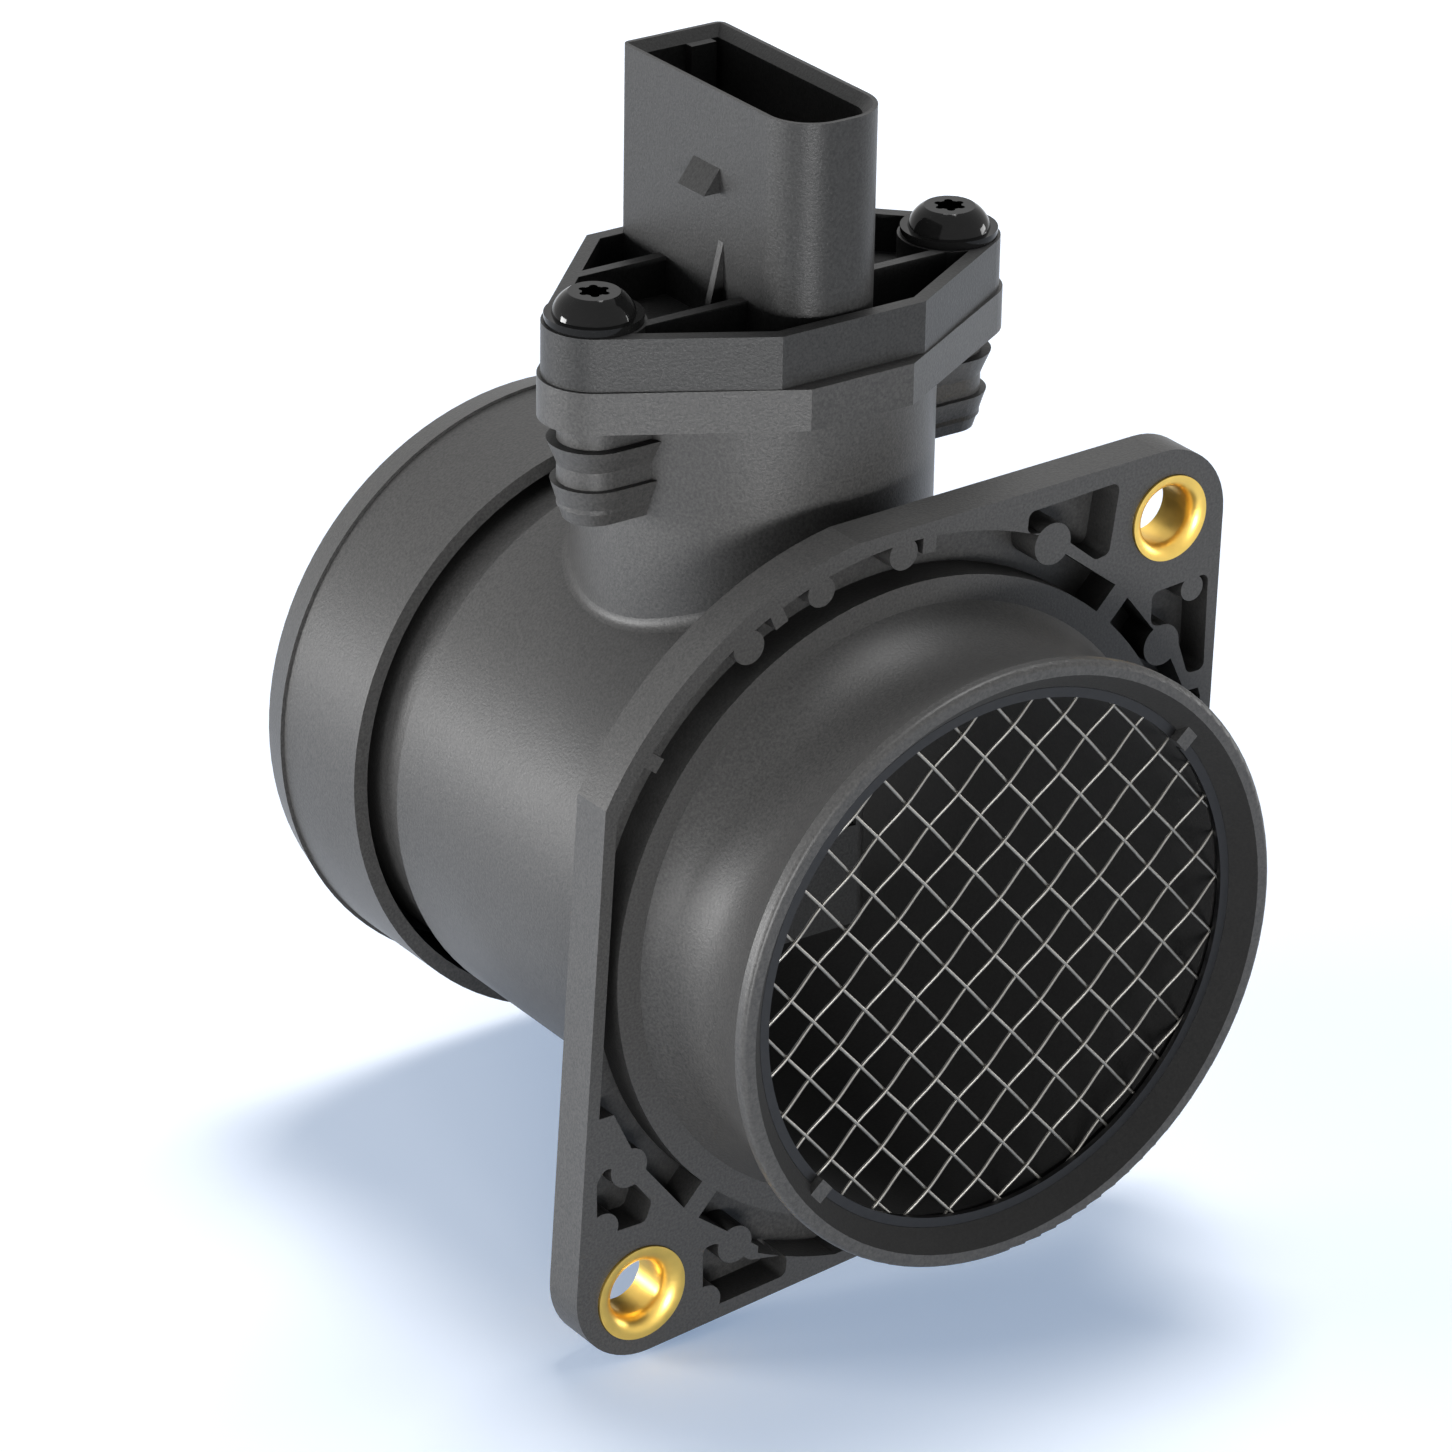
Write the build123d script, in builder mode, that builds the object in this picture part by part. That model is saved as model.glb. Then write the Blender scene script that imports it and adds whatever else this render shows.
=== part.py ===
"""Mass airflow sensor: a moulded measuring tube with a plug-in hot-film sensor.

Frame: millimetres. The duct axis is Y, air flows towards +Y, +Z is up along the
sensor tower, and Y = 0 is the front face of the bolt flange.
"""
from math import cos, radians, sin
import os

from build123d import *

os.makedirs("parts", exist_ok=True)

# ---------------------------------------------------------------- clearances
fit = 0.05               # radial clearance of parts pressed or snapped together
seat_gap = 0.2           # loose clearance round lids and plates in their pockets

# ---------------------------------------------------------------- measuring tube
bore_r = 30.0            # inside of the measuring tube
tube_wall = 3.5          # thick wall of the measuring tube
mouth_y = -19.2          # front edge of the inlet spigot
mouth_step = 3.0         # how far the lip's inside edge stands back from the bore
mouth_wall = 1.6         # wall of the lip
mouth_lead_y = -16.9     # where the bevel inside the lip ends
lip_round = 0.6          # rounding of the lip's outer edge
lip_length = 1.4         # from the front edge to the end of the lip's straight outside
waist_wall = 1.9         # thinnest wall of the inlet spigot
collar_step = 0.7        # from the tube's outside to the inner edge of the collar's face
collar_face = 2.9        # width of that face
tube_end_y = 49.4        # where the thick wall of the tube ends
tube_step_round = 1.2    # rounding of that step
core_wall = 2.0          # thin wall inside the hose spigot
sleeve_y = 54.3          # front edge of the hose spigot's outer sleeve
sleeve_gap = 1.8         # room between the thin wall and the sleeve
sleeve_wall = 1.7        # wall of the sleeve
rear_y = 73.5            # rear end of the tube
end_wall = 3.0           # wall that joins the sleeve to the core
bead_length = 4.3        # hose bead at the rear end
bead_height = 0.4        # how far the bead stands over the spigot
bead_taper = 0.7         # how far the rear end is smaller than the sleeve

# ---------------------------------------------------------------- bolt flange
flange_t = 5.2           # thickness of the flange
flange_corners = ((41.7, 44.7), (-37.5, 42.6), (-42.5, -46.1), (40.1, -38.0))
flange_circle_r = 44.0   # rounding of the two corners without bolts
bolt_corner_r = 8.5      # rounding of the two bolt corners
bolt_places = ((34.0, 36.5), (-33.7, -37.7))
pocket_depth = 4.2       # cored pockets in the flange's front
pocket_round = 0.9       # rounding of the corner pockets
ring_wall = 2.0          # wall between the annular pocket and the circle's edge
flat_wall = 1.5          # wall between the annular pocket and the flat edges
web_t = 2.6              # radial web from each bolt corner to the collar
web_angles = (46.4, 47.7)   # their directions, from +X towards +Z and from -X towards -Z
block_points = ((18.4, 36.9), (27.6, 29.9), (34.2, 21.6), (37.4, 15.0))

# outlines of the four corner pockets, two at each bolt
corner_pockets = (
    ((14.8, 39.1), (15.0, 41.6), (27.2, 42.3), (26.0, 34.2), (24.2, 33.9), (18.4, 38.6)),
    ((32.2, 24.2), (32.2, 28.0), (39.9, 28.6), (39.9, 17.1), (37.6, 17.1), (35.4, 23.4)),
    ((-14.5, -39.2), (-14.7, -41.7), (-25.6, -42.7), (-25.7, -34.9), (-24.0, -34.8), (-19.4, -38.3)),
    ((-38.2, -20.9), (-39.5, -22.6), (-39.4, -29.2), (-33.2, -29.2), (-32.4, -27.0), (-34.4, -24.4)))

# posts in the pockets: x, z and radius
posts = ((18.3, 37.2, 2.4), (33.8, 21.5, 2.4), (37.7, 27.3, 1.5),
         (-21.5, -35.7, 2.2), (-35.4, -22.0, 2.3), (-38.6, -28.5, 1.9), (-25.3, -41.7, 2.0))
ring_posts = ((92.0, 1.8), (107.0, 1.7), (121.0, 1.9))   # angle and radius in the annular pocket
ring_post_r = 40.8       # distance of these posts from the duct axis
ring_rib_angles = (87.3, 114.8, 142.8)
ring_rib_t = 1.7         # short ribs on the annular pocket's wall
ring_rib_length = 3.6

# ---------------------------------------------------------------- bushes, upper right and lower left
bush_r = 4.5             # outside of the bush
bush_bore_r = 3.3        # bore for an M6 bolt
bush_mouths = ((4.9, 1.5), (5.5, 1.9))   # radius of the flared lip and rounding of the mouth
bush_lip_t = 0.9         # thickness of the lip
bush_proud = 0.3         # how far the lip stands out of the flange

# ---------------------------------------------------------------- sensor tower
tower_y = 29.5           # axis of the sensor neck
neck_r = 19.6            # outside of the neck
plug_r = 16.2            # outside of the sensor's round plug
neck_foot_round = 1.6    # fillet where the neck meets the tube
neck_seam_angle = 135.0  # where the neck's outside starts, clear of the screw bosses
neck_plate_z = 52.4      # underside of the neck plate
joint_z = 57.1           # where the sensor sits on the neck plate
plate_top_z = 63.0       # top of the sensor plate
screw_x = 23.0           # screw position from the tower's middle plane
screw_y = 26.1
plate_boss_r = 5.6       # rounding of the sensor plate round the screws
plate_front_x = 9.2      # front corners of the sensor plate
plate_front_y = 11.5
plate_rear_x = 10.2      # rear corners of the sensor plate
plate_rear_y = 46.6
neck_plate_grow = 0.4    # how far the neck plate's screw ends stand out
neck_front_x = 6.6       # front corners of the neck plate
neck_front_y = 9.8
plate_rim = 1.6          # rim round the sensor plate's pockets
plate_floor = 1.6        # floor under the pockets
rear_rib_y = 37.6        # rear rib of the sensor plate
front_rib_y = 22.4       # front rib of the sensor plate
plate_rib_t = 1.3

# ribbed screw bosses under the neck plate: top height, bottom height, radius, draft
boss_core_r = 3.9
boss_core_z = 42.4
boss_cups = ((49.8, 47.2, 5.0, 22.0), (45.2, 40.9, 4.6, 17.0))

# ---------------------------------------------------------------- connector
plug_half_w = 6.5        # half the width of the connector shroud
shroud_front_y = 13.6
shroud_rear_y = 45.8
shroud_top_z = 84.4
shroud_floor_z = 64.5    # bottom of the socket
shroud_wall = 1.6
shroud_front_r = 5.4     # rounding of the front corners
shroud_rear_r = 1.0      # rounding of the rear corners
lead_in = 1.1            # chamfer at the mouth of the socket
latch_y = 29.6           # middle of the latch wedge
latch_width = 4.8
latch_z = 73.3           # underside of the latch wedge
latch_height = 2.7
latch_reach = 2.0
gusset_y = 26.8          # small gusset on the shroud's left side
gusset_t = 0.9
gusset_reach = 2.2
gusset_top_z = 68.0
key_width = 3.2          # polarising key inside the rear wall
key_depth = 1.1
key_x = 2.4
contact_count = 5
contact_pitch = 5.0
contact_w = 2.8
contact_t = 0.8
contact_tip_z = 77.0
contact_tail_z = 25.6
contact_tip_chamfer = 0.25

# ---------------------------------------------------------------- seal ring
seal_section = 2.2       # width and height of its section
seal_chamfer = 0.5
seal_z = 47.0
seal_groove_w = 2.8

# ---------------------------------------------------------------- finger in the air stream
finger_half_w = 6.0
finger_front_y = 15.0
finger_rear_y = 44.0
finger_bottom_z = -10.5
finger_front_r = 1.3
finger_rear_r = 3.0
lid_t = 1.6              # both lids
lid_ledge = 1.4          # ledge that carries a lid
bay_front_gap = 0.5      # from the front contact to the electronics bay's front wall
bay_rear_gap = 0.3       # from the rear contact to its rear wall
bay_bottom_z = 11.4
bay_top_z = 27.0
bay_floor_x = -3.2
passage_floor_x = -4.0
passage_h = 6.0          # height of the measuring passage
passage_lid_y = 17.0     # front edge of the passage cover's seat
passage_wall = 3.0       # wall between its two legs
passage_turn_y = 34.0    # centre of its bend
outlet_front_y = 19.5    # outlet in the underside
outlet_rear_y = 26.0

# ---------------------------------------------------------------- electronics
base_t = 1.5
board_t = 0.8
board_margin = 1.6       # from the base plate's edge to the board
tongue_front_y = 23.5    # tongue of the base plate in the measuring passage
tongue_rear_y = 31.5
carrier_t = 1.4
carrier_h = 4.6
chip_w = 4.0
chip_h = 2.6
chip_t = 0.4
signal_chip_size = (7.0, 5.5, 1.3)   # along Y, along Z, thickness
signal_chip_place = (26.5, 19.0)     # Y and Z
power_chip_size = (4.2, 3.6, 1.1)
power_chip_place = (34.5, 17.5)
probe_front_y = 17.0     # notch of the temperature sensor, on the finger's left side
probe_width = 3.8
probe_bottom_z = 13.0
probe_top_z = 24.0
probe_depth = 2.0
probe_bead_r = 0.9
probe_bead_length = 3.4
probe_lead_r = 0.3
probe_lead_seat = 1.0    # how far each lead reaches into the finger

# ---------------------------------------------------------------- screws
screw_r = 2.4            # thread, drawn plain
screw_length = 18.5      # under the head
screw_hole_r = 2.7       # clearance hole in the sensor plate
screw_flange_r = 5.3
screw_flange_t = 0.9
screw_dome_r = 4.5
screw_dome_top_r = 2.8
screw_head_h = 3.2
socket_r = 1.3           # six-lobe socket
socket_lobe_r = 0.45
socket_depth = 1.9
screw_dome_arc = 3.4     # radius of the head's dome

# ---------------------------------------------------------------- inlet screen
screen_seat_y = -15.4    # ledge that carries the screen
screen_front_y = -16.9    # front of the ring
screen_ring_lap = 0.3    # how far the ring stands inside the bore
screen_ring_w = 1.1      # width of the ring
ring_end_gap = 0.15      # between a key and the end of a ring half
screen_key_t = 1.9       # keys of the mouth that hold the ring
screen_key_y = -17.9     # front of the keys
screen_key_angles = (41.0, 221.0)
wire_w = 0.4             # width of one wire
wire_t = 0.48            # thickness of one wire along the duct
wire_bite = 0.1          # how far the crossing wires are pressed into each other
wire_count = 6           # wires on each side of the middle one
wire_angle = 41.2        # direction of the first wires, from +X towards +Z
wire_pitch_a = 4.76      # spacing of the first wires and their offset from the duct axis
wire_shift_a = 0.15
wire_pitch_b = 4.61      # the same for the crossing wires
wire_shift_b = 0.25
wire_end_gap = 0.3       # from the ends of the wires to the ring's outside

# ---------------------------------------------------------------- derived places
tube_r = bore_r + tube_wall
mouth_bore_r = bore_r + mouth_step
mouth_r = mouth_bore_r + mouth_wall
waist_r = bore_r + waist_wall
collar_in_r = tube_r + collar_step
collar_r = collar_in_r + collar_face
core_r = bore_r + core_wall
sleeve_in_r = core_r + sleeve_gap
sleeve_r = sleeve_in_r + sleeve_wall
bead_end_r = sleeve_r - bead_taper
screen_ring_in_r = bore_r - screen_ring_lap
screen_ring_out_r = screen_ring_in_r + screen_ring_w
wire_reach_r = screen_ring_out_r - wire_end_gap
screw_places = [(-screw_x, screw_y), (screw_x, screw_y)]
neck_bore_r = plug_r + fit
lid_x = finger_half_w - lid_t
leg_z = (passage_wall + passage_h) / 2
bend_r = passage_wall / 2 + passage_h
shroud_mid_y = (shroud_front_y + shroud_rear_y) / 2
shroud_length = shroud_rear_y - shroud_front_y
contact_row = (contact_count - 1) * contact_pitch + contact_t
bay_front_y = shroud_mid_y - contact_row / 2 - bay_front_gap
bay_rear_y = shroud_mid_y + contact_row / 2 + bay_rear_gap
board_x = bay_floor_x + base_t
chip_x = board_x + board_t
tongue_mid_y = (tongue_front_y + tongue_rear_y) / 2
probe_x = probe_bead_r - finger_half_w
probe_y = probe_front_y + probe_width / 2
seal_r = plug_r - seal_section / 2
screen_back_y = screen_seat_y - 2 * wire_t + wire_bite


def turned(radius, angle):
    """Point of a cross-section at a radius and an angle from +X towards +Z."""
    return (radius * cos(radians(angle)), radius * sin(radians(angle)))


def across(y):
    """Plane across the duct at y: local X is +X, local Y is +Z."""
    return Plane(origin=(0, y, 0), x_dir=(1, 0, 0), z_dir=(0, -1, 0))


def side(x):
    """Plane along the duct at x: local X is +Y, local Y is +Z."""
    return Plane(origin=(x, 0, 0), x_dir=(0, 1, 0), z_dir=(1, 0, 0))


def upright(x, y):
    """Plane with local Y along +Z, for profiles turned round a vertical axis."""
    return Plane(origin=(x, y, 0), x_dir=(1, 0, 0), z_dir=(0, -1, 0))


def save(piece, label):
    """Label a finished piece and write it as one STEP file."""
    piece.part.label = label
    export_step(piece.part, f"parts/{label}.step")


# ---------------------------------------------------------------- flange outline
with BuildSketch(across(0)) as flange_outline:
    with BuildLine():
        Polyline(*flange_corners, close=True)
    make_face()
    corners = flange_outline.vertices().sort_by(lambda v: v.X + v.Y)
    fillet([corners[0], corners[-1]], bolt_corner_r)
    with BuildSketch(mode=Mode.INTERSECT):
        Circle(flange_circle_r)
        for x, z in bolt_places:
            with Locations((x, z)):
                Rectangle(abs(2 * x), abs(2 * z))

# The annular pocket runs round the collar and ends at the struts of the bolt corners.
with BuildSketch(across(0)) as ring_pocket:
    add(flange_outline.sketch_local)
    offset(amount=-flat_wall, kind=Kind.INTERSECTION)
    Circle(flange_circle_r - ring_wall, mode=Mode.INTERSECT)
    Circle(collar_r, mode=Mode.SUBTRACT)
    for sign, angle in zip((1, -1), web_angles):
        with BuildLine():
            Polyline(*[(sign * x, sign * z) for x, z in block_points],
                     (sign * flange_circle_r, sign * block_points[-1][1]),
                     (sign * flange_circle_r, sign * flange_circle_r),
                     (sign * block_points[0][0], sign * flange_circle_r), close=True)
        make_face(mode=Mode.SUBTRACT)
        with Locations(Location((*turned(sign * collar_r, angle), 0), angle)):
            Rectangle(collar_r / 4, web_t, mode=Mode.SUBTRACT)
    for turn in (0, 180):
        for angle in ring_rib_angles:
            with Locations(Location((*turned(flange_circle_r - ring_wall, angle + turn), 0), angle + turn)):
                Rectangle(ring_rib_length, ring_rib_t, mode=Mode.SUBTRACT)
        for angle, radius in ring_posts:
            with Locations(turned(ring_post_r, angle + turn)):
                Circle(radius, mode=Mode.SUBTRACT)

# All pockets together, with the posts left standing.
with BuildSketch(across(0)) as pockets:
    for outline in corner_pockets:
        with BuildLine():
            Polyline(*outline, close=True)
        make_face()
    fillet(pockets.vertices(), pocket_round)
    add(ring_pocket.sketch_local)
    for x, z, radius in posts:
        with Locations((x, z)):
            Circle(radius, mode=Mode.SUBTRACT)

# ---------------------------------------------------------------- plates of the tower
def plate_outline(front_x, front_y, end_r):
    """Plate round two screws with straight sides to its front and rear corners."""
    with BuildSketch(mode=Mode.PRIVATE) as outline:
        with Locations(*screw_places):
            Circle(end_r)
        with BuildLine():
            Polyline((-front_x, front_y), (front_x, front_y), (plate_rear_x, plate_rear_y),
                     (-plate_rear_x, plate_rear_y), close=True)
        make_face()
        make_hull()
    return outline.sketch_local


neck_outline = plate_outline(neck_front_x, neck_front_y, plate_boss_r + neck_plate_grow)
sensor_outline = plate_outline(plate_front_x, plate_front_y, plate_boss_r)

# ---------------------------------------------------------------- housing
with BuildPart() as housing:
    # thick tube with the neck, joined by a fillet
    with BuildSketch(across(0)):
        Circle(tube_r)
    extrude(amount=-rear_y)
    with BuildSketch():
        with Locations(Location((0, tower_y, 0), neck_seam_angle)):
            Circle(neck_r)
    extrude(amount=neck_plate_z)
    foot = housing.edges().filter_by(lambda e: e.geom_type not in (GeomType.CIRCLE, GeomType.LINE))
    fillet(foot, neck_foot_round)
    # step behind the thick wall, with a rounded edge; the neck is added again over it
    with BuildSketch():
        with BuildLine():
            Line((core_r, rear_y), (core_r, tube_end_y))
            Line((core_r, tube_end_y), (tube_r - tube_step_round, tube_end_y))
            ThreePointArc((tube_r - tube_step_round, tube_end_y),
                          (tube_r - tube_step_round * 0.35, tube_end_y - tube_step_round * 0.3),
                          (tube_r + tube_step_round * 0.3, tube_end_y - tube_step_round * 1.3))
            Polyline((tube_r + tube_step_round * 0.3, tube_end_y - tube_step_round * 1.3),
                     (2 * tube_r, tube_end_y - tube_step_round * 1.3), (2 * tube_r, rear_y),
                     (core_r, rear_y))
        make_face()
    revolve(axis=Axis.Y, mode=Mode.SUBTRACT)
    with BuildSketch():
        with Locations(Location((0, tower_y, 0), neck_seam_angle)):
            Circle(neck_r)
    extrude(amount=neck_plate_z)
    # hose spigot: outer sleeve, end wall and bead
    with BuildSketch():
        with BuildLine():
            Polyline((sleeve_in_r, sleeve_y), (sleeve_r, sleeve_y),
                     (sleeve_r, rear_y - bead_length), (sleeve_r + bead_height, rear_y - bead_length),
                     (bead_end_r, rear_y), (bore_r, rear_y), (bore_r, rear_y - end_wall),
                     (sleeve_in_r, rear_y - end_wall), close=True)
        make_face()
    revolve(axis=Axis.Y)
    # flange with its pockets
    with BuildSketch(across(0)):
        add(flange_outline.sketch_local)
    extrude(amount=-flange_t)
    with BuildSketch(across(0)):
        add(pockets.sketch_local)
    extrude(amount=-pocket_depth, mode=Mode.SUBTRACT)
    # inlet spigot with its rounded lip
    with BuildSketch():
        with BuildLine():
            ThreePointArc((collar_in_r, 0), (waist_r, (mouth_y + lip_length) / 2),
                          (mouth_r, mouth_y + lip_length))
            Line((mouth_r, mouth_y + lip_length), (mouth_r, mouth_y + lip_round))
            CenterArc((mouth_r - lip_round, mouth_y + lip_round), lip_round, 0, -90)
            Polyline((mouth_r - lip_round, mouth_y), (bore_r, mouth_y), (bore_r, 0), (collar_in_r, 0))
        make_face()
    revolve(axis=Axis.Y)
    # neck plate on the neck
    with BuildSketch(Plane.XY.offset(neck_plate_z)):
        add(neck_outline)
    extrude(amount=joint_z - neck_plate_z)
    # ribbed screw bosses, each joined to the neck
    for sign, (x, y) in zip((-1, 1), screw_places):
        with BuildSketch(Plane.XY.offset(neck_plate_z)):
            with Locations((x, y)):
                Circle(boss_core_r)
                with Locations((-sign * screw_x / 4, 0)):
                    Rectangle(screw_x / 2, 2 * boss_core_r)
        extrude(amount=boss_core_z - neck_plate_z)
        for top_z, bottom_z, radius, draft in boss_cups:
            with BuildSketch(Plane.XY.offset(top_z)):
                with Locations((x, y)):
                    Circle(radius)
                    with Locations((-sign * screw_x / 4, 0)):
                        Rectangle(screw_x / 2, 2 * radius)
            extrude(amount=top_z - bottom_z, dir=(0, 0, -1), taper=draft)
    # duct bore, seat of the inlet screen and bore of the neck
    with BuildSketch(across(rear_y)):
        Circle(bore_r)
    extrude(amount=rear_y - mouth_y, mode=Mode.SUBTRACT)
    with BuildSketch():
        with BuildLine():
            Polyline((0, mouth_y), (mouth_bore_r, mouth_y), (screen_ring_out_r + fit, mouth_lead_y),
                     (screen_ring_out_r + fit, screen_seat_y), (0, screen_seat_y), close=True)
        make_face()
    revolve(axis=Axis.Y, mode=Mode.SUBTRACT)
    with BuildSketch(Plane.XY.offset(joint_z)):
        with Locations((0, tower_y)):
            Circle(neck_bore_r)
    extrude(amount=-joint_z, mode=Mode.SUBTRACT)
    # the bore goes on below the neck, so only the wall above the axis is opened
    with BuildSketch(Plane.XY.offset(joint_z)):
        with Locations(*screw_places):
            Circle(screw_r + fit)
    extrude(amount=-(screw_length - (plate_top_z - joint_z) + 1), mode=Mode.SUBTRACT)
    # keys that hold the screen ring
    for angle in screen_key_angles:
        with BuildSketch(across(screen_back_y)):
            with Locations(Location((*turned((screen_ring_in_r + mouth_bore_r) / 2, angle), 0), angle)):
                Rectangle(mouth_bore_r - screen_ring_in_r, screen_key_t)
        extrude(amount=screen_back_y - screen_key_y)
    # seats of the bushes
    with BuildSketch(across(0)):
        with Locations(*bolt_places):
            Circle(bush_r + fit)
    extrude(amount=-flange_t, mode=Mode.SUBTRACT)
    with BuildSketch(across(0)):
        for (x, z), (lip_r, _) in zip(bolt_places, bush_mouths):
            with Locations((x, z)):
                Circle(lip_r + fit)
    extrude(amount=-(bush_lip_t - bush_proud), mode=Mode.SUBTRACT)
save(housing, "housing")

# ---------------------------------------------------------------- bushes
for label, (x, z), (lip_r, flare_r) in zip(("bush_upper_right", "bush_lower_left"),
                                           bolt_places, bush_mouths):
    with BuildPart() as bush:
        with BuildSketch(Plane(origin=(x, 0, z), x_dir=(1, 0, 0), z_dir=(0, 0, 1))):
            with BuildLine():
                Line((bush_bore_r, flange_t), (bush_bore_r, flare_r - bush_proud))
                CenterArc((bush_bore_r + flare_r, flare_r - bush_proud), flare_r, 180, 90)
                Polyline((bush_bore_r + flare_r, -bush_proud), (lip_r, -bush_proud),
                         (lip_r, bush_lip_t - bush_proud), (bush_r, bush_lip_t - bush_proud),
                         (bush_r, flange_t), (bush_bore_r, flange_t))
            make_face()
        revolve(axis=Axis((x, 0, z), (0, 1, 0)))
    save(bush, label)

# ---------------------------------------------------------------- sensor body
finger_mid_y = (finger_front_y + finger_rear_y) / 2
finger_length = finger_rear_y - finger_front_y

with BuildSketch(Plane.XY.offset(finger_bottom_z)) as finger_outline:
    with Locations((0, finger_mid_y)):
        Rectangle(2 * finger_half_w, finger_length)
    ends = finger_outline.vertices().sort_by(Axis.Y)
    fillet(ends[:2], finger_front_r)
    fillet(finger_outline.vertices().sort_by(Axis.Y)[-2:], finger_rear_r)

with BuildSketch(side(0)) as bay_outline:
    with Locations(((bay_front_y + bay_rear_y) / 2, (bay_bottom_z + bay_top_z) / 2)):
        Rectangle(bay_rear_y - bay_front_y, bay_top_z - bay_bottom_z)

with BuildSketch(side(0)) as passage_outline:
    with Locations((passage_turn_y, 0)):
        Circle(bend_r)
    with Locations((passage_turn_y, 0)):
        Rectangle(passage_turn_y - finger_front_y, 2 * bend_r, align=(Align.MAX, Align.CENTER))
    with Locations((finger_front_y, 0)):
        Rectangle(outlet_front_y - finger_front_y, bend_r, align=(Align.MIN, Align.MAX),
                  mode=Mode.SUBTRACT)
    with Locations((passage_turn_y, 0)):
        Circle(passage_wall / 2, mode=Mode.SUBTRACT)
        Rectangle(passage_turn_y - finger_front_y, passage_wall, align=(Align.MAX, Align.CENTER),
                  mode=Mode.SUBTRACT)


def lid_outline(hollow, gap):
    """Outline of the seat round a hollow, smaller by a gap, kept behind the front wall."""
    with BuildSketch(mode=Mode.PRIVATE) as outline:
        add(hollow.sketch_local)
        make_hull()
        offset(amount=lid_ledge, kind=Kind.INTERSECTION)
        with Locations((passage_lid_y, 0)):
            Rectangle(finger_length, 2 * bay_top_z + finger_length,
                      align=(Align.MIN, Align.CENTER), mode=Mode.INTERSECT)
        offset(amount=-gap, kind=Kind.INTERSECTION)
    return outline.sketch_local


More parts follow.
